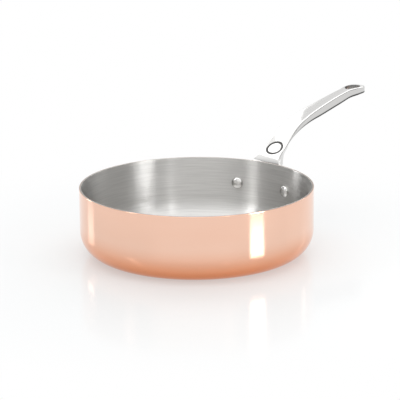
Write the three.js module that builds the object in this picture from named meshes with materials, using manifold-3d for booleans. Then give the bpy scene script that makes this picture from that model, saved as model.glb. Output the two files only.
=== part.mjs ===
// A straight-sided copper saute pan with a bonded steel lining and a cast handle held by two rivets.
// The pan stands on the XY plane with its axis on Z, and the handle points along +X. Millimetres.

import * as THREE from "three";
import { mergeVertices } from "three/addons/utils/BufferGeometryUtils.js";
import Module from "manifold-3d";

const wasm = await Module();
wasm.setup();
const { clamp, degToRad, lerp, smoothstep } = THREE.MathUtils;

// Pan
const PAN_DIAMETER = 240; // outside the copper wall
const PAN_HEIGHT = 70.5; // base to rim
const COPPER_THICKNESS = 1.7;
const STEEL_THICKNESS = 0.3;
const FOOT_RADIUS = 26; // outside, where the wall turns into the base
const RIM_EDGE_RADIUS = 0.6; // broken outer edge of the rim

// Rivets
const RIVET_SPACING = 63; // between the two axes, on the outside of the wall
const RIVET_DROP = 26.5; // rim down to the axes
const SHANK_DIAMETER = 6;
const INNER_HEAD_DIAMETER = 12.6;
const INNER_HEAD_HEIGHT = 3.2;
const OUTER_HEAD_DIAMETER = 11;
const OUTER_HEAD_HEIGHT = 2.4;
const HEAD_LAND = 0.6; // straight edge below each dome

// Handle casting
const HANDLE_REACH = 190.5; // wall to tip
const HANDLE_RISE = 52.2; // rim to the top of the tip
const EDGE_THICKNESS = 3.2; // flange plate, and the thin sides of the neck
const EDGE_RADIUS = 1.8; // rounding all round the casting
const LOBE_RADIUS = 10.5; // flange round about each rivet
const FLANGE_SCALLOP = 4; // hollow of the flange's lower edge
const FLARE_HEIGHT = 9.5; // rim up to where the flange has drawn in to the neck
const NECK_WIDTH = 26.6;
const TAPER_LEAD = 20; // inside the wall, where the taper to the grip has its start
const GRIP_WIDTH = 13.6;
const PADDLE_WIDTH = 18.5; // flattened end round the hanging hole
const PADDLE_FLARE = 17; // length over which the grip widens to it
const ROOT_DEPTH = 25.5; // rib behind the neck, at its deepest
const RIB_WIDTH = 30;
const GRIP_THICKNESS = 13; // along its middle
const GRIP_SIDE = 10.9; // height of its sides
const TIP_THICKNESS = 8;
const FACE_DISH = 0.6; // hollow across the face of the stem
const HOLE_LENGTH = 23;
const HOLE_WIDTH = 13;
const HOLE_MARGIN = 6; // tip to hole
const HOLE_LIP = 0.7; // bevel of both mouths
const RING_DIAMETER = 20; // outside the plain groove on the neck
const RING_WIDTH = 2.8;
const RING_DEPTH = 0.7; // below the hollow of the face

// Fits
const SEAT_GAP = 0.3; // flange to wall, rivet heads to what they clamp
const SHANK_CLEARANCE = 0.25; // all round each shank

// Facets
const PAN_SIDES = 96;
const FOOT_STEPS = 7;
const RIVET_SIDES = 24;
const DOME_STEPS = 5;
const EDGE_STEPS = 3;
const FACE_STEPS = 16;
const ROOT_STATIONS = 4; // sections between two guide points, up to the neck
const GRIP_STATIONS = 2; // and along the grip
const END_STATIONS = 10; // round the tip
const HOLE_SIDES = 36;

const wallRadius = PAN_DIAMETER / 2;
const seatRadius = wallRadius + SEAT_GAP;
const bondRadius = wallRadius - COPPER_THICKNESS;
const liningRadius = bondRadius - STEEL_THICKNESS;
const rivetHeight = PAN_HEIGHT - RIVET_DROP;
const rivetAngle = Math.asin(RIVET_SPACING / 2 / wallRadius);

// Closed triangles to a solid for joining and cutting, and back
function toSolid(geometry) {
  const bare = geometry.clone();
  bare.deleteAttribute("normal");
  bare.deleteAttribute("uv");
  const merged = mergeVertices(bare);
  const corners = merged.index.array;
  const kept = [];
  for (let i = 0; i < corners.length; i += 3) {
    const [a, b, c] = corners.slice(i, i + 3);
    if (a !== b && b !== c && c !== a) kept.push(a, b, c);
  }
  const mesh = new wasm.Mesh({
    numProp: 3,
    vertProperties: merged.attributes.position.array,
    triVerts: Uint32Array.from(kept),
  });
  return new wasm.Manifold(mesh);
}

function toGeometry(solid) {
  const mesh = solid.getMesh();
  const geometry = new THREE.BufferGeometry();
  geometry.setAttribute("position", new THREE.BufferAttribute(mesh.vertProperties, 3));
  geometry.setIndex(new THREE.BufferAttribute(mesh.triVerts, 1));
  geometry.computeVertexNormals();
  return geometry;
}

function cut(geometry, cutters) {
  let solid = toSolid(geometry);
  for (const cutter of cutters) solid = solid.subtract(toSolid(cutter));
  return toGeometry(solid);
}

// Closed skin over rings of equal length, in which point j lies across from point j counted from the end.
// Each four-sided patch is split along its shorter diagonal.
function loft(rings) {
  const points = rings.flat();
  const size = rings[0].length;
  const last = points.length - size;
  const indices = [];
  for (let start = 0; start < last; start += size) {
    for (let side = 0; side < size; side += 1) {
      const a = start + side;
      const b = start + ((side + 1) % size);
      const [c, d] = [a + size, b + size];
      const straight = points[a].distanceTo(points[d]) < points[b].distanceTo(points[c]);
      if (straight) indices.push(a, d, b, a, c, d);
      else indices.push(a, c, b, b, c, d);
    }
  }
  for (let side = 0; side < size / 2 - 1; side += 1) {
    const next = side + 1;
    const across = size - 1 - side;
    const acrossNext = across - 1;
    indices.push(side, next, acrossNext, side, acrossNext, across);
    indices.push(last + side, last + acrossNext, last + next, last + side, last + across, last + acrossNext);
  }
  const geometry = new THREE.BufferGeometry().setFromPoints(points);
  geometry.setIndex(indices);
  return geometry;
}

// Shank hole through lining, wall and flange, on the axis of one rivet
function rivetHole(side) {
  const radius = SHANK_DIAMETER / 2 + SHANK_CLEARANCE;
  const drill = new THREE.CylinderGeometry(radius, radius, PAN_DIAMETER, RIVET_SIDES);
  drill.rotateZ(-Math.PI / 2);
  drill.translate(PAN_DIAMETER / 2, 0, rivetHeight);
  return drill.rotateZ(side * rivetAngle);
}

const rivetHoles = [rivetHole(1), rivetHole(-1)];

// Half section of the cup at a depth below its outside, as (radius, height) from the axis to the wall
function cupProfile(depth) {
  const centre = wallRadius - FOOT_RADIUS;
  const radius = FOOT_RADIUS - depth;
  const points = [new THREE.Vector2(0, depth)];
  for (let step = 0; step <= FOOT_STEPS; step += 1) {
    const turn = (step / FOOT_STEPS) * (Math.PI / 2);
    const x = centre + radius * Math.sin(turn);
    const y = FOOT_RADIUS - radius * Math.cos(turn);
    points.push(new THREE.Vector2(x, y));
  }
  return points;
}

function spunCup(outer, rim, inner) {
  const profile = [...outer, ...rim, ...inner.reverse()];
  const cup = new THREE.LatheGeometry(profile, PAN_SIDES).rotateX(Math.PI / 2);
  return cut(cup, rivetHoles);
}

function copperShell() {
  const rim = [0, Math.PI / 4, Math.PI / 2].map((turn) => {
    const x = wallRadius - RIM_EDGE_RADIUS * (1 - Math.cos(turn));
    const y = PAN_HEIGHT - RIM_EDGE_RADIUS * (1 - Math.sin(turn));
    return new THREE.Vector2(x, y);
  });
  rim.push(new THREE.Vector2(bondRadius, PAN_HEIGHT));
  return spunCup(cupProfile(0), rim, cupProfile(COPPER_THICKNESS));
}

function steelLining() {
  const rim = [bondRadius, liningRadius].map((radius) => new THREE.Vector2(radius, PAN_HEIGHT));
  const floor = COPPER_THICKNESS + STEEL_THICKNESS;
  return spunCup(cupProfile(COPPER_THICKNESS), rim, cupProfile(floor));
}

// Guide line of the handle's face, which looks at the pan and then up: out from the wall seat, up from
// the rim. The flange stands on the wall and the arch follows shares of the reach and the rise.
const archShares = [
  [0.003, -0.1],
  [0.031, 0.058],
  [0.097, 0.218],
  [0.178, 0.435],
  [0.268, 0.617],
  [0.378, 0.742],
  [0.525, 0.845],
  [0.707, 0.946],
  [0.856, 1.004],
  [1, 1],
];
const arch = archShares.map(([out, up]) => new THREE.Vector3(out * HANDLE_REACH, up * HANDLE_RISE));
const [belowRim, , middleOfNeck] = arch;
const faceLine = new THREE.CatmullRomCurve3([
  new THREE.Vector3(0, -RIVET_DROP - LOBE_RADIUS),
  new THREE.Vector3(0, -RIVET_DROP),
  new THREE.Vector3(0, -RIVET_DROP + LOBE_RADIUS),
  ...arch,
]);
const spans = faceLine.points.length - 1;
const neckSpan = faceLine.points.indexOf(middleOfNeck);

// Depth of the casting behind each guide point, in the middle and at the sides, and the slope below
// level at which both are measured
const depthsAndSlopes = [
  [EDGE_THICKNESS, EDGE_THICKNESS, 0],
  [0.4 * ROOT_DEPTH, EDGE_THICKNESS, 6],
  [0.72 * ROOT_DEPTH, EDGE_THICKNESS, 8],
  [ROOT_DEPTH, EDGE_THICKNESS, 8],
  [0.95 * ROOT_DEPTH, EDGE_THICKNESS, 9],
  [1.65 * GRIP_THICKNESS, EDGE_THICKNESS, 16],
  [1.02 * GRIP_THICKNESS, lerp(EDGE_THICKNESS, GRIP_SIDE, 0.15), 42],
  [0.85 * GRIP_THICKNESS, lerp(EDGE_THICKNESS, GRIP_SIDE, 0.46), 66],
  [0.9 * GRIP_THICKNESS, lerp(EDGE_THICKNESS, GRIP_SIDE, 0.68), 76],
  [GRIP_THICKNESS, lerp(EDGE_THICKNESS, GRIP_SIDE, 0.94), 81],
  [0.96 * GRIP_THICKNESS, GRIP_SIDE, 82],
  [(GRIP_THICKNESS + TIP_THICKNESS) / 2, (GRIP_SIDE + TIP_THICKNESS) / 2, 84],
  [TIP_THICKNESS, TIP_THICKNESS, 88],
];
const depthLine = new THREE.CatmullRomCurve3(
  depthsAndSlopes.map(([depth, side, slope]) => new THREE.Vector3(depth, side, degToRad(slope))),
  false,
  "catmullrom",
);

// Half width of the casting: two rivet lobes, a flare up to the neck, a taper, and the round paddle
function halfWidth(out, up) {
  const [neck, grip, paddle] = [NECK_WIDTH / 2, GRIP_WIDTH / 2, PADDLE_WIDTH / 2];
  const paddleStart = HANDLE_REACH - PADDLE_WIDTH - PADDLE_FLARE;
  const taper = (neck - grip) * smoothstep(out, -TAPER_LEAD, paddleStart);
  const swell = (paddle - grip) * smoothstep(out, paddleStart, HANDLE_REACH - PADDLE_WIDTH);
  const above = up + RIVET_DROP;
  const flare = 1 - smoothstep(above, 0, RIVET_DROP + FLARE_HEIGHT);
  const stem = lerp(neck - taper + swell, RIVET_SPACING / 2 + LOBE_RADIUS, flare);
  const droop = Math.min(above, 0);
  const lobe = Math.sqrt(Math.max(LOBE_RADIUS ** 2 - droop ** 2, 0)) - LOBE_RADIUS;
  const past = Math.max(out - HANDLE_REACH + paddle, 0);
  const tip = Math.sqrt(Math.max(1 - (past / paddle) ** 2, 0));
  return (stem + lobe) * tip;
}

// How far a place on the casting lies in from its outline, with the lobes and the paddle as true circles
function distanceIn(out, up, y) {
  const droop = up + RIVET_DROP;
  const past = out - HANDLE_REACH + PADDLE_WIDTH / 2;
  const beyondRivet = Math.max(Math.abs(y) - RIVET_SPACING / 2, 0);
  if (droop < 0) return LOBE_RADIUS - Math.hypot(beyondRivet, droop);
  if (past > 0) return PADDLE_WIDTH / 2 - Math.hypot(past, y);
  return halfWidth(out, up) - Math.abs(y);
}

// Places across one section from edge to edge, closer together over the rib and round the edges
function placesAcross(half, radius) {
  const crowding = 1.6;
  const right = [];
  for (let step = 1; step <= FACE_STEPS / 2; step += 1) {
    right.push((half - radius) * ((2 * step) / FACE_STEPS) ** crowding);
  }
  for (let step = 1; step <= EDGE_STEPS; step += 1) {
    right.push(half - radius + radius * Math.sin((step / EDGE_STEPS) * (Math.PI / 2)));
  }
  const left = right.map((y) => -y).reverse();
  return [...left, 0, ...right];
}

// One closed section of the casting at a share of the guide line: across the face, back along the rib
function handleSection(share) {
  const { x: out, y: up } = faceLine.getPoint(share);
  const { x: depth, y: side, z: slope } = depthLine.getPoint(share);
  const half = halfWidth(out, up);
  const radius = Math.min(EDGE_RADIUS, 0.45 * side, 0.8 * half);
  const onWall = 1 - smoothstep(up, belowRim.y, middleOfNeck.y);
  const ribFullness = lerp(2, 4, onWall);
  const ribHalf = Math.min(RIB_WIDTH / 2, half);
  const belowRivets = clamp(-(up + RIVET_DROP) / LOBE_RADIUS, 0, 1);

  function point(y, onBack) {
    const bow = onWall * (Math.sqrt(seatRadius ** 2 - y ** 2) - seatRadius);
    const rib = (1 - clamp(Math.abs(y) / ribHalf, 0, 1) ** ribFullness) ** 2;
    const dish = FACE_DISH * (1 - onWall) * (1 - (y / half) ** 2);
    const short = radius - clamp(distanceIn(out, up, y), 0, radius);
    const drop = radius - Math.sqrt(radius ** 2 - short ** 2);
    const into = onBack ? lerp(side, depth, rib) - drop : dish + drop;
    const hollow = (1 - clamp((2 * Math.abs(y)) / RIVET_SPACING, 0, 1) ** 2) ** 2;
    const x = seatRadius + out + bow + into * Math.cos(slope);
    const z = PAN_HEIGHT + up - into * Math.sin(slope) + FLANGE_SCALLOP * belowRivets * hollow;
    return new THREE.Vector3(x, y, z);
  }

  const places = placesAcross(half, radius);
  const face = places.map((y) => point(y, false));
  const back = places.map((y) => point(y, true));
  return [...face, ...back.reverse()];
}

// Elliptical cutter for the hanging hole, wider at both mouths
function hangingHole() {
  const centre = HANDLE_REACH - HOLE_MARGIN - HOLE_LENGTH / 2;
  let share = 1;
  while (faceLine.getPoint(share).x > centre) share -= 0.001;
  const top = PAN_HEIGHT + faceLine.getPoint(share).y;
  const depth = depthLine.getPoint(share).x;
  const beyond = 2 * TIP_THICKNESS;
  const stations = [
    [-beyond, HOLE_LIP + beyond],
    [HOLE_LIP, 0],
    [depth - HOLE_LIP, 0],
    [depth + beyond, HOLE_LIP + beyond],
  ];
  const rings = stations.map(([into, wider]) => {
    const ring = [];
    for (let side = 0; side < HOLE_SIDES; side += 1) {
      const turn = Math.PI + ((side + 0.5) / HOLE_SIDES) * 2 * Math.PI;
      const x = seatRadius + centre + (HOLE_LENGTH / 2 + wider) * Math.cos(turn);
      const y = (HOLE_WIDTH / 2 + wider) * Math.sin(turn);
      ring.push(new THREE.Vector3(x, y, top - into));
    }
    return ring;
  });
  return loft(rings);
}

// Cutter for the plain ring on the neck, square to the face
function neckRing() {
  const along = faceLine.getTangent(neckSpan / spans);
  const outer = RING_DIAMETER / 2;
  const inner = outer - RING_WIDTH;
  const floor = -FACE_DISH - RING_DEPTH;
  const profile = [
    new THREE.Vector2(inner, floor),
    new THREE.Vector2(outer, floor),
    new THREE.Vector2(outer, RING_WIDTH),
    new THREE.Vector2(inner, RING_WIDTH),
    new THREE.Vector2(inner, floor),
  ];
  const ring = new THREE.LatheGeometry(profile, HOLE_SIDES).rotateX(Math.PI / 2);
  ring.rotateY(-Math.atan2(along.y, along.x));
  return ring.translate(seatRadius + middleOfNeck.x, 0, PAN_HEIGHT + middleOfNeck.y);
}

function handleCasting() {
  const shares = [];
  for (let step = 0; step < ROOT_STATIONS; step += 1) {
    const turn = (step / ROOT_STATIONS) * (Math.PI / 2);
    shares.push((1 - Math.cos(turn)) / spans);
  }
  for (let span = 1; span < spans - 1; span += 1) {
    const stations = span > neckSpan ? GRIP_STATIONS : ROOT_STATIONS;
    for (let step = 0; step < stations; step += 1) shares.push((span + step / stations) / spans);
  }
  const shortOfTip = 0.94; // where the section would shrink to a line
  for (let step = 0; step <= END_STATIONS; step += 1) {
    const turn = (step / END_STATIONS) * shortOfTip * (Math.PI / 2);
    shares.push((spans - 1 + Math.sin(turn)) / spans);
  }
  const body = loft(shares.map(handleSection));
  return cut(body, [...rivetHoles, hangingHole(), neckRing()]);
}

// Half section of one rivet head, from its domed crown to its rim, as (radius, height above its seat)
function headProfile(diameter, height) {
  const points = [];
  for (let step = 0; step <= DOME_STEPS; step += 1) {
    const turn = (step / DOME_STEPS) * (Math.PI / 2);
    const rise = HEAD_LAND + (height - HEAD_LAND) * Math.cos(turn);
    points.push(new THREE.Vector2((diameter / 2) * Math.sin(turn), rise));
  }
  points.push(new THREE.Vector2(diameter / 2, 0));
  points.push(new THREE.Vector2(SHANK_DIAMETER / 2, 0));
  return points;
}

// Domed head inside the lining, shank, and a lower head outside the flange, along the rivet's own +X
function rivet() {
  const innerSeat = Math.sqrt(liningRadius ** 2 - (INNER_HEAD_DIAMETER / 2) ** 2) - SEAT_GAP;
  const outerSeat = seatRadius + EDGE_THICKNESS * Math.cos(rivetAngle) + SEAT_GAP;
  const inner = headProfile(INNER_HEAD_DIAMETER, INNER_HEAD_HEIGHT);
  const outer = headProfile(OUTER_HEAD_DIAMETER, OUTER_HEAD_HEIGHT);
  const profile = [
    ...inner.map(({ x, y }) => new THREE.Vector2(x, innerSeat - y)),
    ...outer.reverse().map(({ x, y }) => new THREE.Vector2(x, outerSeat + y)),
  ];
  return new THREE.LatheGeometry(profile, RIVET_SIDES).rotateZ(-Math.PI / 2);
}

const copper = new THREE.MeshStandardMaterial({ color: "#e9a583", roughness: 0.16, metalness: 1 });
const brushedSteel = new THREE.MeshStandardMaterial({ color: "#c3c1bc", roughness: 0.34, metalness: 1 });
const castSteel = new THREE.MeshStandardMaterial({ color: "#dedcd8", roughness: 0.14, metalness: 1 });
const rivetSteel = new THREE.MeshStandardMaterial({ color: "#d3d1cc", roughness: 0.18, metalness: 1 });

function named(name, geometry, material) {
  const mesh = new THREE.Mesh(geometry, material);
  mesh.name = name;
  return mesh;
}

const pan = new THREE.Group();
pan.add(named("copper_shell", copperShell(), copper));
pan.add(named("steel_lining", steelLining(), brushedSteel));
pan.add(named("handle", handleCasting(), castSteel));
for (const [name, side] of [["rivet_left", 1], ["rivet_right", -1]]) {
  const place = new THREE.Group();
  place.position.z = rivetHeight;
  place.rotation.z = side * rivetAngle;
  place.add(named(name, rivet(), rivetSteel));
  pan.add(place);
}

export default pan;
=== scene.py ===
from math import asin, cos, pi, radians, sin

import bmesh
import bpy
import numpy as np
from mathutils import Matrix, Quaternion, Vector


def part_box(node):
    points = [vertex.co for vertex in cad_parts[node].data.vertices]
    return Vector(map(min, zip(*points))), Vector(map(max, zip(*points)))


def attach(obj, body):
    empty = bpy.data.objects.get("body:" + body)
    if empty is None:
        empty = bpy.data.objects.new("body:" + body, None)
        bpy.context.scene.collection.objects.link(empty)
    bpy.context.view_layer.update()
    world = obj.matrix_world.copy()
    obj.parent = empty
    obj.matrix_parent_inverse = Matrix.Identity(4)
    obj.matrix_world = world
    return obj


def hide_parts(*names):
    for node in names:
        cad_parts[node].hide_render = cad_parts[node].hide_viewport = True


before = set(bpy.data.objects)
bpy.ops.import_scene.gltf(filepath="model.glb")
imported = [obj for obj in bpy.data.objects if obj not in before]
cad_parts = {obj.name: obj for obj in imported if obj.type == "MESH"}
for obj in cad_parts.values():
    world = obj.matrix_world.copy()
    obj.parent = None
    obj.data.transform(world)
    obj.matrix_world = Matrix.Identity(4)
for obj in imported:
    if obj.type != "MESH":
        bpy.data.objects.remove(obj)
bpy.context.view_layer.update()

# The pan body: a copper disc 1.7 mm thick, pressed and spun into a straight-sided cup with a wide
# rounded foot and a plain cut rim. It is polished on the lathe, round and round.
shell_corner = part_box("copper_shell")[1]
WALL_RADIUS = shell_corner.x
PAN_HEIGHT = shell_corner.z
COPPER_THICKNESS = 0.0017
FOOT_RADIUS = 0.026
RIM_EDGE_RADIUS = 0.0006
PAN_SIDES = 384
FLOOR_STEPS = 12
FLOOR_END = 0.98
FOOT_STEPS = 40
WALL_STEPS = 8
WALL_START = 1.03
WALL_END = 0.98
RIM_STEPS = 9
WELD_DISTANCE = 1e-6
AXIS_CLEARANCE = 0.001
QUARTER_TURN = 0.25
FOOT_SHADE_FADE = 1.5 * FOOT_RADIUS
CUT_FROM = PAN_HEIGHT - 0.00015
CUT_TO = PAN_HEIGHT - 0.00005
COPPER_ROUGHNESS = 0.06
CUT_ROUGHNESS = 0.25
COPPER_TINT = (0.885, 0.6, 0.475, 1)
COPPER_DEEP = (0.865, 0.535, 0.4, 1)
# The foot's colour is painted shade and warm reflection: the copper gets darker and redder towards
# the bottom.
FOOT_PAINTED_SHADE = (0.8, 0.29, 0.115, 1)
CUT_COPPER = (0.3, 0.24, 0.2, 1)


def arc(centre, radius, start, end, steps):
    """Points of a circle, centre + radius * (sin, -cos), from one angle to another."""
    turn = np.linspace(start, end, steps)[:, None]
    return np.array(centre) + radius * np.hstack([np.sin(turn), -np.cos(turn)])


def cup_profile(depth):
    """Radius and height of the cup, a depth in from its outside: flat floor, quarter arc and
    straight wall. Floor and wall stop a little short of the arc, which has the points there."""
    centre = WALL_RADIUS - FOOT_RADIUS
    floor = np.linspace(0, FLOOR_END * centre, FLOOR_STEPS)[:, None] * [1, 0]
    foot = arc((centre, FOOT_RADIUS), FOOT_RADIUS - depth, 0, pi / 2, FOOT_STEPS)
    heights = np.linspace(WALL_START * FOOT_RADIUS, WALL_END * PAN_HEIGHT, WALL_STEPS)
    wall = heights[:, None] * [0, 1]
    return np.vstack([floor + [0, depth], foot, wall + [WALL_RADIUS - depth, 0]])


def revolve(profile, sides):
    """A profile turned about Z: x = radius cos a, y = radius sin a, z = height, a full turn of a."""
    turn = np.linspace(0, 2 * pi, sides + 1)
    radius = profile[:, :1]
    height = np.repeat(profile[:, 1:], sides + 1, axis=1)
    return np.stack([radius * np.cos(turn), radius * np.sin(turn), height], axis=2)


def run_of(profile, sides):
    """Distance travelled along a profile, the same all the way round the turn."""
    steps = np.linalg.norm(np.diff(profile, axis=0), axis=1)
    return np.repeat(np.r_[0, np.cumsum(steps)][:, None], sides + 1, axis=1)


def make_piece(name, grids, material, **marks):
    """A mesh of quads over grids of points, sewn where grids meet. It keeps each list of marks, one
    array of values for each grid, under the list's name."""
    corners = []
    start = 0
    for grid in grids:
        rows, columns = grid.shape[:2]
        index = start + np.arange(rows * columns).reshape(rows, columns)
        quads = np.stack([index[:-1, :-1], index[:-1, 1:], index[1:, 1:], index[1:, :-1]], axis=2)
        corners.append(quads.reshape(-1, 4))
        start += rows * columns
    mesh = bpy.data.meshes.new(name)
    points = np.vstack([grid.reshape(-1, 3) for grid in grids])
    mesh.from_pydata(points, [], np.vstack(corners))
    for mark, values in marks.items():
        kept = mesh.attributes.new(mark, "FLOAT", "POINT")
        flat = np.concatenate([value.ravel() for value in values])
        kept.data.foreach_set("value", flat.astype(np.float32))
    sewn = bmesh.new()
    sewn.from_mesh(mesh)
    bmesh.ops.remove_doubles(sewn, verts=sewn.verts, dist=WELD_DISTANCE)
    bmesh.ops.dissolve_degenerate(sewn, edges=sewn.edges, dist=WELD_DISTANCE / 10)
    bmesh.ops.recalc_face_normals(sewn, faces=sewn.faces)
    sewn.to_mesh(mesh)
    sewn.free()
    mesh.shade_smooth()
    mesh.materials.append(material)
    piece = bpy.data.objects.new(name, mesh)
    bpy.context.scene.collection.objects.link(piece)
    return piece


class Wire:
    """One socket of a shader. Sums on wires add Math nodes to the same tree."""

    def __init__(self, tree, socket=None):
        self.tree = tree
        self.socket = socket

    def node(self, kind, settings, inputs, output=0):
        """Adds a node, makes its settings, sets or links its inputs, and gives one output."""
        made = self.tree.nodes.new("ShaderNode" + kind)
        for name, value in settings.items():
            setattr(made, name, value)
        for name, value in inputs.items():
            if isinstance(value, Wire):
                self.tree.links.new(value.socket, made.inputs[name])
            else:
                made.inputs[name].default_value = value
        return Wire(self.tree, made.outputs[output])

    def math(self, operation, *values):
        """A Math node on wires and numbers."""
        return self.node("Math", {"operation": operation}, dict(enumerate(values)))

    def mark(self, name):
        """The values that a piece keeps at its points under a name."""
        return self.node("Attribute", {"attribute_name": name}, {}, "Fac")

    def noise(self, scale, detail):
        """Cloudy noise from 0 to 1 at the place that this wire gives."""
        places = {"Vector": self, "Scale": scale, "Detail": detail}
        return self.node("TexNoise", {}, places, "Fac")

    def ramp(self, start, end, shape="LINEAR"):
        """0 up to start, 1 from end on, and a straight line or a smooth step between them."""
        limits = {"Value": self, "From Min": start, "From Max": end}
        return self.node("MapRange", {"interpolation_type": shape}, limits)

    def blend(self, first, second):
        """The mix of two colours, with this wire as the share of the second."""
        share, colour_a, colour_b, mixed = 0, 6, 7, 2
        places = {share: self, colour_a: first, colour_b: second}
        return self.node("Mix", {"data_type": "RGBA"}, places, mixed)

    def __add__(self, other):
        return self.math("ADD", self, other)

    def __sub__(self, other):
        return self.math("SUBTRACT", self, other)

    def __rsub__(self, other):
        return self.math("SUBTRACT", other, self)

    def __mul__(self, other):
        return self.math("MULTIPLY", self, other)

    def __truediv__(self, other):
        return self.math("DIVIDE", self, other)

    def __rtruediv__(self, other):
        return self.math("DIVIDE", other, self)

    __radd__ = __add__
    __rmul__ = __mul__


def finished(owner, shader):
    """Gives a material or the world the shader that a function builds in its empty node tree."""
    owner.use_nodes = True
    tree = owner.node_tree
    tree.nodes.clear()
    kind = "World" if isinstance(owner, bpy.types.World) else "Material"
    end = tree.nodes.new("ShaderNodeOutput" + kind)
    tree.links.new(shader(Wire(tree)).socket, end.inputs["Surface"])
    return owner


def around(wire, per_metre, sweep):
    """Noise drawn out round the Z axis: fine along the run of the profile, long round the turn."""
    place = wire.node("TexCoord", {}, {}, "Object")
    x, y = [wire.node("SeparateXYZ", {}, {0: place}, axis) for axis in "XY"]
    radius = wire.math("MAXIMUM", wire.math("SQRT", x * x + y * y), AXIS_CLEARANCE)
    spread = sweep / radius
    ring = {"X": x * spread, "Y": y * spread, "Z": wire.mark("run") * per_metre}
    return wire.node("CombineXYZ", {}, ring).noise(scale=1, detail=3)


def polished_copper(wire):
    """Fine lines and soft bands round the pan, painted shade and warm reflection that make the foot
    darker and redder towards the bottom, and a rough, darker cut rim.
    """
    place = wire.node("TexCoord", {}, {}, "Object")
    height = wire.node("SeparateXYZ", {}, {0: place}, "Z")
    lines = around(wire, per_metre=900, sweep=2.5)
    bands = around(wire, per_metre=60, sweep=1.2)
    cloud = place.noise(scale=14, detail=4)
    sheet = ((cloud + bands) / 2).blend(COPPER_TINT, COPPER_DEEP)
    # Painted shade and warm reflection, strongest at the bottom of the foot and gone by one and a
    # half foot radii up.
    low = 1 - height.ramp(0, FOOT_SHADE_FADE, "SMOOTHSTEP")
    cut = height.ramp(CUT_FROM, CUT_TO)
    return wire.node("BsdfPrincipled", {}, {
        "Base Color": cut.blend(low.blend(sheet, FOOT_PAINTED_SHADE), CUT_COPPER),
        "Metallic": 1,
        "Roughness": COPPER_ROUGHNESS * (1 + lines + cloud) + CUT_ROUGHNESS * cut,
        "Anisotropic": 0.5,
        "Anisotropic Rotation": QUARTER_TURN,
        "Normal": wire.node("Bump", {}, {"Height": lines, "Strength": 0.03, "Distance": 0.0002}),
    })


bond_radius = WALL_RADIUS - COPPER_THICKNESS
rim_centre = (WALL_RADIUS - RIM_EDGE_RADIUS, PAN_HEIGHT - RIM_EDGE_RADIUS)
copper_profile = np.vstack([
    cup_profile(0),
    arc(rim_centre, RIM_EDGE_RADIUS, pi / 2, pi, RIM_STEPS),
    [[bond_radius, PAN_HEIGHT]],
    cup_profile(COPPER_THICKNESS)[::-1],
])
copper_shell = make_piece(
    "copper_body",
    [revolve(copper_profile, PAN_SIDES)],
    finished(bpy.data.materials.new("polished_copper"), polished_copper),
    run=[run_of(copper_profile, PAN_SIDES)],
)
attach(copper_shell, "root")
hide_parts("copper_shell")

# The lining: a thin sheet of stainless steel bonded to the copper before the cup is pressed. It
# ends flush with the rim, and its inside is brushed round the pan, on the wall and on the floor.
STEEL_THICKNESS = 0.0003
LINING_EDGE_RADIUS = 0.00012
LINING_RIM_STEPS = 5
STREAK_FROM = 0.3
STREAK_TO = 0.7
LINING_ROUGHNESS = 0.28
BAND_ROUGHNESS = 0.06
LINING_STEEL = (0.74, 0.732, 0.716, 1)
LINING_SHADE = (0.57, 0.563, 0.551, 1)


def brushed_steel(wire):
    """Streaks of two greys and fine scratches, all of them drawn out round the pan."""
    lines = around(wire, per_metre=1400, sweep=3)
    bands = around(wire, per_metre=260, sweep=1.5)
    streaks = around(wire, per_metre=600, sweep=3).ramp(STREAK_FROM, STREAK_TO)
    return wire.node("BsdfPrincipled", {}, {
        "Base Color": ((streaks + bands) / 2).blend(LINING_SHADE, LINING_STEEL),
        "Metallic": 1,
        "Roughness": LINING_ROUGHNESS + BAND_ROUGHNESS * bands,
        "Anisotropic": 1,
        "Anisotropic Rotation": QUARTER_TURN,
        "Normal": wire.node("Bump", {}, {"Height": lines, "Strength": 0.8, "Distance": 0.0003}),
    })


lining_depth = COPPER_THICKNESS + STEEL_THICKNESS
lining_radius = WALL_RADIUS - lining_depth
lining_corner = (lining_radius + LINING_EDGE_RADIUS, PAN_HEIGHT - LINING_EDGE_RADIUS)
lining_profile = np.vstack([
    cup_profile(COPPER_THICKNESS),
    [[bond_radius, PAN_HEIGHT]],
    arc(lining_corner, LINING_EDGE_RADIUS, pi, 3 * pi / 2, LINING_RIM_STEPS),
    cup_profile(lining_depth)[::-1],
])
lining = make_piece(
    "brushed_lining",
    [revolve(lining_profile, PAN_SIDES)],
    finished(bpy.data.materials.new("brushed_lining"), brushed_steel),
    run=[run_of(lining_profile, PAN_SIDES)],
)
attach(lining, "root")
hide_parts("steel_lining")

# The handle: one stainless casting. A flange with two rivet lobes hugs the wall, a deep rib stiffens
# its root, and the stem arches up and out to a flat paddle with a hanging hole. It is polished. The
# back of the stem and grip and the lowest part of its sides, the hole's lip and wall and the ring
# sunk in the neck are made rougher and painted near black, as painted shade and painted dark
# reflection.
RIVET_SPACING = 0.063
RIVET_DROP = 0.0265
HANDLE_REACH = 0.1905
HANDLE_RISE = 0.0522
EDGE_THICKNESS = 0.0032
EDGE_RADIUS = 0.0018
EDGE_OF_SIDE = 0.45
EDGE_OF_FACE = 0.8
LOBE_RADIUS = 0.0105
FLANGE_SCALLOP = 0.004
FLARE_HEIGHT = 0.0095
NECK_WIDTH = 0.0266
TAPER_LEAD = 0.020
GRIP_WIDTH = 0.0136
PADDLE_WIDTH = 0.0185
PADDLE_FLARE = 0.017
ROOT_DEPTH = 0.0255
RIB_WIDTH = 0.030
GRIP_THICKNESS = 0.013
GRIP_SIDE = 0.0109
TIP_THICKNESS = 0.008
FACE_DISH = 0.0006
HOLE_LENGTH = 0.023
HOLE_WIDTH = 0.013
HOLE_MARGIN = 0.006
HOLE_LIP = 0.0007
RING_DIAMETER = 0.020
RING_WIDTH = 0.0028
RING_DEPTH = 0.0007
RING_FLOOR = 0.35 * RING_WIDTH
SEAT_GAP = 0.0003
LEAST_HALF = 1e-9

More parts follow.
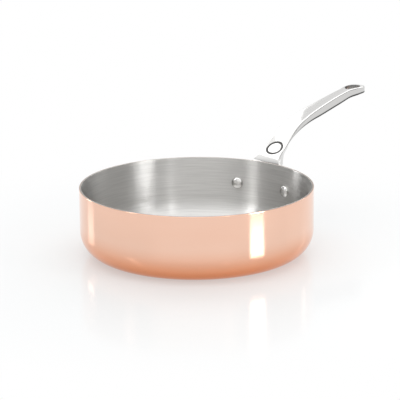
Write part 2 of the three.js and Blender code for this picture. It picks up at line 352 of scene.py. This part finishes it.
FOOT_ROWS = 20
ROOT_ROWS = 36
GRIP_ROWS = 80
LIP_ROWS = 5
HOLE_ROWS = 60
TIP_ROWS = 40
SEARCH_STEPS = 4000
FACE_STEPS = 32
EDGE_STEPS = 10
SIDE_STEPS = 8

# Painted shade and dark reflection on the casting: on its back from UNDER_FROM out, full by
# UNDER_TO, on the lowest part of its sides, on the hole's lip and, faintly, on the hole's wall.
UNDER_FROM = 0.02
UNDER_TO = 0.08
SIDE_SHADE_FROM = 0.84
SIDE_SHADE_TO = 0.96
LIP_FADE = 1.2 * HOLE_LIP
LIP_SHADE = 0.9
HOLE_DULL_AND_SHADE = 0.15
LINES_ALONG = 25
LINES_ROUND = 900
CASTING_ROUGHNESS = 0.07
LINE_ROUGHNESS = 0.05
DULL_ROUGHNESS = 0.3
HANDLE_STEEL = (0.63, 0.625, 0.615, 1)
# Near-black steel that paints shade and dark reflection onto the casting.
PAINTED_SHADE_STEEL = (0.06, 0.059, 0.058, 1)

# The arch of the face: shares of the handle's reach out from the wall and of its rise over the rim.
ARCH_SHARES = [
    (0.003, -0.1),
    (0.031, 0.058),
    (0.097, 0.218),
    (0.178, 0.435),
    (0.268, 0.617),
    (0.378, 0.742),
    (0.525, 0.845),
    (0.707, 0.946),
    (0.856, 1.004),
    (1, 1),
]


def between(low, high, share):
    """The value that goes straight from low to high as the share goes from 0 to 1."""
    return low + (high - low) * share


face_guide = np.vstack([
    [(0, -RIVET_DROP - LOBE_RADIUS), (0, -RIVET_DROP), (0, -RIVET_DROP + LOBE_RADIUS)],
    np.array(ARCH_SHARES) * [HANDLE_REACH, HANDLE_RISE],
])
# At each point of the face: thickness in the middle, thickness at the side, lean of the inward way.
depth_guide = np.array([
    (EDGE_THICKNESS, EDGE_THICKNESS, 0),
    (0.4 * ROOT_DEPTH, EDGE_THICKNESS, radians(6)),
    (0.72 * ROOT_DEPTH, EDGE_THICKNESS, radians(8)),
    (ROOT_DEPTH, EDGE_THICKNESS, radians(8)),
    (0.95 * ROOT_DEPTH, EDGE_THICKNESS, radians(9)),
    (1.65 * GRIP_THICKNESS, EDGE_THICKNESS, radians(16)),
    (1.02 * GRIP_THICKNESS, between(EDGE_THICKNESS, GRIP_SIDE, 0.15), radians(42)),
    (0.85 * GRIP_THICKNESS, between(EDGE_THICKNESS, GRIP_SIDE, 0.46), radians(66)),
    (0.9 * GRIP_THICKNESS, between(EDGE_THICKNESS, GRIP_SIDE, 0.68), radians(76)),
    (GRIP_THICKNESS, between(EDGE_THICKNESS, GRIP_SIDE, 0.94), radians(81)),
    (0.96 * GRIP_THICKNESS, GRIP_SIDE, radians(82)),
    ((GRIP_THICKNESS + TIP_THICKNESS) / 2, (GRIP_SIDE + TIP_THICKNESS) / 2, radians(84)),
    (TIP_THICKNESS, TIP_THICKNESS, radians(88)),
])
RIM_POINT = 3
NECK_POINT = 5
GRIP_POINT = 7
spans = len(face_guide) - 1
seat_radius = WALL_RADIUS + SEAT_GAP


def along_guide(points, share, even):
    """A Catmull-Rom curve at shares of its run: cubic pieces whose end slopes come from the
    neighbours, as they stand where even is set, and otherwise weighted by the root of the
    distance between points."""
    ends = np.vstack([2 * points[0] - points[1], points, 2 * points[-1] - points[-2]])
    span = np.minimum((share * spans).astype(int), spans - 1)
    part = (share * spans - span)[:, None]
    a, b, c, d = [ends[span + step] for step in range(4)]
    if even:
        leave = (c - a) / 2
        arrive = (d - b) / 2
    else:
        before, here, after = [
            np.sqrt(np.linalg.norm(q - p, axis=1))[:, None] for p, q in ((a, b), (b, c), (c, d))
        ]
        leave = ((b - a) / before - (c - a) / (before + here) + (c - b) / here) * here
        arrive = ((c - b) / here - (d - b) / (here + after) + (d - c) / after) * here
    bend = 3 * (c - b) - 2 * leave - arrive
    twist = 2 * (b - c) + leave + arrive
    return b + part * (leave + part * (bend + part * twist))


def smoothstep(value, low, high):
    """0 below low, 1 above high, and 3t^2 - 2t^3 between them."""
    t = np.clip((value - low) / (high - low), 0, 1)
    return t * t * (3 - 2 * t)


def edge_drop(distance, radius):
    """How far a rounded edge falls away at a distance in from it: r - sqrt(r^2 - (r - d)^2)."""
    short = radius - np.clip(distance, 0, radius)
    return radius - np.sqrt(radius**2 - short**2)


def half_width(out, up):
    """Half the casting's width: rivet lobes, a flare up to the neck, a taper, a round paddle."""
    neck, grip, paddle = NECK_WIDTH / 2, GRIP_WIDTH / 2, PADDLE_WIDTH / 2
    paddle_start = HANDLE_REACH - PADDLE_WIDTH - PADDLE_FLARE
    taper = (neck - grip) * smoothstep(out, -TAPER_LEAD, paddle_start)
    swell = (paddle - grip) * smoothstep(out, paddle_start, HANDLE_REACH - PADDLE_WIDTH)
    above = up + RIVET_DROP
    flare = 1 - smoothstep(above, 0, RIVET_DROP + FLARE_HEIGHT)
    stem = between(neck - taper + swell, RIVET_SPACING / 2 + LOBE_RADIUS, flare)
    lobe = np.sqrt(np.maximum(LOBE_RADIUS**2 - np.minimum(above, 0) ** 2, 0)) - LOBE_RADIUS
    past = np.maximum(out - HANDLE_REACH + paddle, 0)
    tip = np.sqrt(np.maximum(1 - (past / paddle) ** 2, 0))
    return (stem + lobe) * tip


def distance_in(out, up, across, half):
    """Distance in from the outline: to the round of a rivet lobe or the paddle, or to the side."""
    droop = up + RIVET_DROP
    past = out - HANDLE_REACH + PADDLE_WIDTH / 2
    lobe = LOBE_RADIUS - np.hypot(np.maximum(across - RIVET_SPACING / 2, 0), droop)
    paddle = PADDLE_WIDTH / 2 - np.hypot(past, across)
    return np.where(droop < 0, lobe, np.where(past > 0, paddle, half - across))


# Rows of the casting from the flange's foot to the tip, closer together round the hanging hole.
hole_length, hole_width = HOLE_LENGTH / 2, HOLE_WIDTH / 2
hole_centre = HANDLE_REACH - HOLE_MARGIN - hole_length
hole_turn = np.linspace(0, pi, HOLE_ROWS + 1)
lip_outs = HOLE_LIP * np.linspace(1, 0, LIP_ROWS + 1)[:-1]
hole_outs = np.concatenate([
    -hole_length - lip_outs,
    -hole_length * np.cos(hole_turn),
    hole_length + lip_outs[::-1],
])
outer_shares = np.linspace(0.5, 1, SEARCH_STEPS + 1)
outer_outs = along_guide(face_guide, outer_shares, False)[:, 0]
hole_shares = np.interp(hole_centre + hole_outs, outer_outs, outer_shares)
foot_shares = (1 - np.cos(np.linspace(0, pi / 2, FOOT_ROWS + 1))) / spans
root_shares = np.linspace(1, GRIP_POINT, ROOT_ROWS * (GRIP_POINT - 1) + 1)[1:] / spans
grip_shares = np.linspace(GRIP_POINT / spans, hole_shares[0], GRIP_ROWS + 1)[1:-1]
tip_turn = np.linspace(0, pi / 2, TIP_ROWS + 1)[1:]
tip_shares = between(hole_shares[-1], 1, np.sin(tip_turn))
shares = np.concatenate([foot_shares, root_shares, grip_shares, hole_shares, tip_shares])
first_hole = len(foot_shares) + len(root_shares) + len(grip_shares) + len(lip_outs)
hole_rows = slice(first_hole, first_hole + len(hole_turn))

# The outline: half the width at each row, and places across it from the middle or the hole's edge.
out, up = along_guide(face_guide, shares, False).T[:, :, None]
middle_depth, side_depth, lean = along_guide(depth_guide, shares, True).T[:, :, None]
half = half_width(out, up)
half[-1] = 0
edge_radius = np.minimum(EDGE_RADIUS, EDGE_OF_SIDE * side_depth)
edge_width = np.minimum(edge_radius, EDGE_OF_FACE * half)
inner = np.zeros_like(half)
inner[hole_rows, 0] = hole_width * np.sin(hole_turn)
face_share = (1 - np.cos(np.linspace(0, pi, FACE_STEPS + 1))) / 2
edge_share = np.sin(np.linspace(0, pi / 2, EDGE_STEPS + 1))[1:]
face_across = between(inner, half - edge_width, face_share)
across = np.hstack([face_across, half - edge_width + edge_width * edge_share])

# The relief over that outline: rounded edges, rib, dished face, hole's lip, sunken ring and scallop.
rim_guide, neck_guide = face_guide[[RIM_POINT, NECK_POINT], 1]
on_wall = 1 - smoothstep(up, rim_guide, neck_guide)
drop = edge_drop(distance_in(out, up, across, half), edge_radius)
half_or_more = np.maximum(half, LEAST_HALF)
rib_half = np.minimum(RIB_WIDTH / 2, half_or_more)
rib = (1 - np.clip(across / rib_half, 0, 1) ** (2 + 2 * on_wall)) ** 2
thickness = between(side_depth, middle_depth, rib)
dish = FACE_DISH * (1 - on_wall) * (1 - (across / half_or_more) ** 2)
reach_to_hole = np.hypot((out - hole_centre) / hole_length, across / hole_width)
from_hole = np.hypot(out - hole_centre, across) * (1 - 1 / np.maximum(reach_to_hole, 1))
lip = edge_drop(from_hole, HOLE_LIP)
ring_centre = face_guide[NECK_POINT]
from_ring = np.sqrt((out - ring_centre[0]) ** 2 + (up - ring_centre[1]) ** 2 + across**2)
off_groove = np.abs(from_ring - (RING_DIAMETER - RING_WIDTH) / 2)
groove = 1 - smoothstep(off_groove, RING_FLOOR, RING_WIDTH / 2)
below_rivets = np.clip(-(up + RIVET_DROP) / LOBE_RADIUS, 0, 1)
hollow = (1 - np.clip(2 * across / RIVET_SPACING, 0, 1) ** 2) ** 2
bow = on_wall * (np.sqrt(seat_radius**2 - across**2) - seat_radius)


def casting_point(into):
    """A point of the casting: out from the wall, up from the rim, then into it along its lean."""
    x = seat_radius + out + bow + into * np.cos(lean)
    z = PAN_HEIGHT + up - into * np.sin(lean) + FLANGE_SCALLOP * below_rivets * hollow
    return np.stack([x, across, z], axis=2)


face = casting_point(dish + drop + lip + RING_DEPTH * groove)
back = casting_point(thickness - drop - lip)
down = (1 - np.cos(np.linspace(0, pi, SIDE_STEPS + 1))) / 2
side_wall = between(face[:, -1:], back[:, -1:], down[1:-1, None])
skin = np.concatenate([face, side_wall, back[:, ::-1]], axis=1)
hole_wall = between(face[hole_rows, :1], back[hole_rows, :1], down[:, None])
foot_wall = between(face[:1], back[:1], down[:, None, None])
half_grids = [skin, hole_wall, foot_wall]
handle_grids = [grid * [1, mirror, 1] for mirror in (1, -1) for grid in half_grids]

# Where the casting is rougher and painted dark as shade, and how far each point lies along the
# handle and round its section.
in_lip = 1 - smoothstep(from_hole, HOLE_LIP, LIP_FADE)
# Painted dark reflection: the casting's back is darkened from a little way out from the wall, and so
# is the lowest part of its sides.
under = np.repeat(smoothstep(out, UNDER_FROM, UNDER_TO), across.shape[1], axis=1)
side_dull = under[:, :1] * smoothstep(down[1:-1], SIDE_SHADE_FROM, SIDE_SHADE_TO)
# Painted shade in the ring's groove and on the hole's lip, beside the painted dark reflection on the
# back and sides.
skin_dull = np.hstack([np.maximum(groove, LIP_SHADE * in_lip), side_dull, under])
half_dull = [
    skin_dull,
    # Faint painted shade on the hanging hole's wall, which is also made rougher.
    np.full(hole_wall.shape[:2], HOLE_DULL_AND_SHADE),
    np.zeros(foot_wall.shape[:2]),
]
length = np.r_[0, np.cumsum(np.linalg.norm(np.diff(face[:, -1], axis=0), axis=1))][:, None]
half_along = [
    np.repeat(length, skin.shape[1], axis=1),
    np.repeat(length[hole_rows], hole_wall.shape[1], axis=1),
    np.zeros(foot_wall.shape[:2]),
]
steps_round = np.linalg.norm(np.diff(skin, axis=1), axis=2)
half_girth = [
    np.hstack([np.zeros_like(length), np.cumsum(steps_round, axis=1)]),
    np.zeros(hole_wall.shape[:2]),
    np.zeros(foot_wall.shape[:2]),
]


def polished_casting(wire):
    """Fine polish lines along the handle, a faint cloud, and near-black painted shade, made rougher,
    where the casting's mark says so.
    """
    place = wire.node("TexCoord", {}, {}, "Object")
    drawn_out = {"X": wire.mark("along") * LINES_ALONG, "Y": wire.mark("girth") * LINES_ROUND}
    lines = wire.node("CombineXYZ", {}, drawn_out).noise(scale=1, detail=3)
    cloud = place.noise(scale=45, detail=3)
    dull = wire.mark("dull")
    polish = CASTING_ROUGHNESS + LINE_ROUGHNESS * (lines + cloud)
    return wire.node("BsdfPrincipled", {}, {
        # Painted shade and dark reflection: the mark blends in near-black steel.
        "Base Color": dull.blend(HANDLE_STEEL, PAINTED_SHADE_STEEL),
        "Metallic": 1,
        "Roughness": polish + DULL_ROUGHNESS * dull,
        "Normal": wire.node("Bump", {}, {"Height": lines, "Strength": 0.02, "Distance": 0.0002}),
    })


handle = make_piece(
    "cast_handle",
    handle_grids,
    finished(bpy.data.materials.new("polished_casting"), polished_casting),
    dull=half_dull * 2,
    along=half_along * 2,
    girth=half_girth * 2,
)
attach(handle, "root")
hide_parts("handle")

# Two solid steel rivets pass through lining, wall and flange. The heads inside the pan are tall
# domes, and those outside the flange are lower ones, closed with a press so that they sit tight.
SHANK_RADIUS = 0.003
INNER_HEAD_RADIUS = 0.0063
INNER_HEAD_HEIGHT = 0.0032
OUTER_HEAD_RADIUS = 0.0055
OUTER_HEAD_HEIGHT = 0.0024
HEAD_LAND = 0.0006
HEAD_SEAT = 0.0008
DOME_STEPS = 18
RIVET_SIDES = 72
RIVET_ROUGHNESS = 0.1
RIVET_CLOUD = 0.08
RIVET_STEEL = (0.78, 0.77, 0.755, 1)


def head_profile(radius, height):
    """Radius and height of a domed head over its seat: a quarter ellipse on a short edge."""
    turn = np.linspace(0, pi / 2, DOME_STEPS)[:, None]
    dome = np.hstack([radius * np.sin(turn), between(HEAD_LAND, height, np.cos(turn))])
    return np.vstack([dome, [[radius, -HEAD_SEAT], [SHANK_RADIUS, -HEAD_SEAT]]])


def polished_rivet(wire):
    """Bright steel with a faint cloud in its polish."""
    cloud = wire.node("TexCoord", {}, {}, "Object").noise(scale=300, detail=3)
    return wire.node("BsdfPrincipled", {}, {
        "Base Color": RIVET_STEEL,
        "Metallic": 1,
        "Roughness": RIVET_ROUGHNESS + RIVET_CLOUD * cloud,
    })


rivet_angle = asin(RIVET_SPACING / 2 / WALL_RADIUS)
inner_seat = np.sqrt(lining_radius**2 - INNER_HEAD_RADIUS**2) - SEAT_GAP
outer_seat = seat_radius + EDGE_THICKNESS * cos(rivet_angle) + SEAT_GAP
inner_head = head_profile(INNER_HEAD_RADIUS, INNER_HEAD_HEIGHT) * [1, -1] + [0, inner_seat]
outer_head = head_profile(OUTER_HEAD_RADIUS, OUTER_HEAD_HEIGHT) + [0, outer_seat]
rivet_turned = revolve(np.vstack([inner_head, outer_head[::-1]]), RIVET_SIDES)
lateral, upward, axial = np.moveaxis(rivet_turned, 2, 0)
rivet_finish = finished(bpy.data.materials.new("rivet_steel"), polished_rivet)
for rivet_name, rivet_node, angle in (
    ("rivet_left_domed", "rivet_left", rivet_angle),
    ("rivet_right_domed", "rivet_right", -rivet_angle),
):
    rivet_x = axial * cos(angle) - lateral * sin(angle)
    rivet_y = axial * sin(angle) + lateral * cos(angle)
    rivet_z = PAN_HEIGHT - RIVET_DROP + upward
    rivet = make_piece(rivet_name, [np.stack([rivet_x, rivet_y, rivet_z], axis=2)], rivet_finish)
    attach(rivet, "root")
    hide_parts(rivet_node)

# The table: one wide sheet of white acrylic, lit a little from below. Its gloss shows a faint mirror
# image of the pan, it takes a soft shadow, and further off it runs into the white backdrop.
TABLE_SIZE = 16
TABLE_DROP = 0.0002
CLEAR_FROM = 0.18
CLEAR_TO = 0.4
SHEET_GLOW = 0.45
ACRYLIC = (0.65, 0.665, 0.67, 1)
WHITE = (1, 1, 1, 1)


def white_acrylic(wire):
    """A glossy pale sheet mixed with white light, with more of the light further from the pan."""
    place = wire.node("TexCoord", {}, {}, "Object")
    away = wire.node("VectorMath", {"operation": "LENGTH"}, {0: place}, "Value")
    clear = away.ramp(CLEAR_FROM, CLEAR_TO, "SMOOTHSTEP")
    sheet = wire.node("BsdfPrincipled", {}, {
        "Base Color": ACRYLIC,
        "Roughness": 0.13,
        "IOR": 1.4,
    })
    backdrop = wire.node("Emission", {}, {"Color": WHITE, "Strength": 1})
    lit = SHEET_GLOW + (1 - SHEET_GLOW) * clear
    return wire.node("MixShader", {}, {0: lit, 1: sheet, 2: backdrop})


table_ends = np.array([-TABLE_SIZE / 2, TABLE_SIZE / 2])
table_x, table_y = np.meshgrid(table_ends, table_ends)
table_grid = np.stack([table_x, table_y, np.full((2, 2), -TABLE_DROP)], axis=2)
acrylic = finished(bpy.data.materials.new("white_acrylic"), white_acrylic)
table = make_piece("table", [table_grid], acrylic)

# The studio: a white room with dimmer side walls, wide lamps high over the table, and small soft
# lamps round the pan, one of them low beside it, whose reflections run down the metal as strips.
CAMERA_DISTANCE = 2.0
CAMERA_HEADING = radians(37.2)
CAMERA_RISE = 0.2634
CAMERA_BASE = 0.060
CAMERA_TURN = -0.0018
CAMERA_TILT = -0.0025
CAMERA_ROLL = -0.0076
CAMERA_LENS = 175.8
CAMERA_REACH = 100
ROOM_ACROSS = (-sin(CAMERA_HEADING), cos(CAMERA_HEADING), 0)
SIDE_FROM = 0.5
SIDE_TO = 0.78
SIDE_GREY = (0.54, 0.54, 0.54, 1)
LAMP_AIM = Vector((0, 0, 0.04))
WATTS_FOR_WHITE = 4

# Heading to the right of the camera and rise in degrees, distance, width, height, brightness.
LAMPS = {
    "lamp_back_high": (180, 51, 1.5, 3.0, 0.9, 1.0),
    "lamp_top": (180, 78, 1.5, 3.0, 0.5, 0.25),
    "lamp_right_near": (52, 0.1, 0.45, 0.1, 0.062, 13),
    "lamp_right": (57.5, 13, 1.0, 0.24, 0.22, 9.5),
    "lamp_right_wide": (122, 11.5, 2.0, 2.0, 0.2, 0.55),
    "lamp_front_tall": (29, 30, 1.0, 0.07, 0.36, 2),
    "lamp_left_back": (-124, 8, 2.4, 0.5, 0.6, 4.5),
    "lamp_front_high": (0, 76, 1.5, 3.0, 0.55, 1.0),
    "lamp_left_tall": (-66, 30, 1.0, 0.14, 0.36, 3.8),
    "lamp_right_back": (125, 20, 1.2, 0.09, 0.3, 2.5),
}


def pale_room(wire):
    """White all round, but greyer where a direction points to either side wall of the room."""
    way = wire.node("TexCoord", {}, {}, "Generated")
    dot = {"operation": "DOT_PRODUCT"}
    aside = wire.math("ABSOLUTE", wire.node("VectorMath", dot, {0: way, 1: ROOM_ACROSS}, "Value"))
    walls = aside.ramp(SIDE_FROM, SIDE_TO, "SMOOTHSTEP").blend(WHITE, SIDE_GREY)
    return wire.node("Background", {}, {"Color": walls, "Strength": 1})


def soft_lamp(name, heading, rise, distance, width, height, brightness):
    """A rectangular area lamp that faces the pan. Brightness 1 is the white of the room."""
    turn = CAMERA_HEADING + pi + radians(heading)
    level = cos(radians(rise))
    way = Vector((cos(turn) * level, sin(turn) * level, sin(radians(rise))))
    light = bpy.data.lights.new(name, "AREA")
    light.shape = "RECTANGLE"
    light.size = width
    light.size_y = height
    light.energy = WATTS_FOR_WHITE * width * height * brightness
    lamp = bpy.data.objects.new(name, light)
    lamp.location = LAMP_AIM + way * distance
    lamp.rotation_euler = (-way).to_track_quat("-Z", "Y").to_euler()
    lamp.visible_camera = False
    bpy.context.scene.collection.objects.link(lamp)


bpy.context.scene.world = finished(bpy.data.worlds.new("pale_room"), pale_room)
for lamp_name, lamp_values in LAMPS.items():
    soft_lamp(lamp_name, *lamp_values)

view = bpy.data.cameras.new("view")
view.lens = CAMERA_LENS
view.clip_end = CAMERA_REACH
camera = bpy.data.objects.new("view", view)
camera_level = CAMERA_DISTANCE * cos(CAMERA_RISE)
camera.location = (
    -camera_level * cos(CAMERA_HEADING),
    -camera_level * sin(CAMERA_HEADING),
    CAMERA_DISTANCE * sin(CAMERA_RISE) + CAMERA_BASE,
)
aim_heading = CAMERA_HEADING + CAMERA_TURN
aim_dip = CAMERA_TILT - CAMERA_RISE
aim = Vector((cos(aim_dip) * cos(aim_heading), cos(aim_dip) * sin(aim_heading), sin(aim_dip)))
level_aim = aim.to_track_quat("-Z", "Y")
camera.rotation_euler = (level_aim @ Quaternion((0, 0, 1), CAMERA_ROLL)).to_euler()
bpy.context.scene.collection.objects.link(camera)
bpy.context.scene.camera = camera
bpy.context.scene.view_settings.view_transform = "Standard"
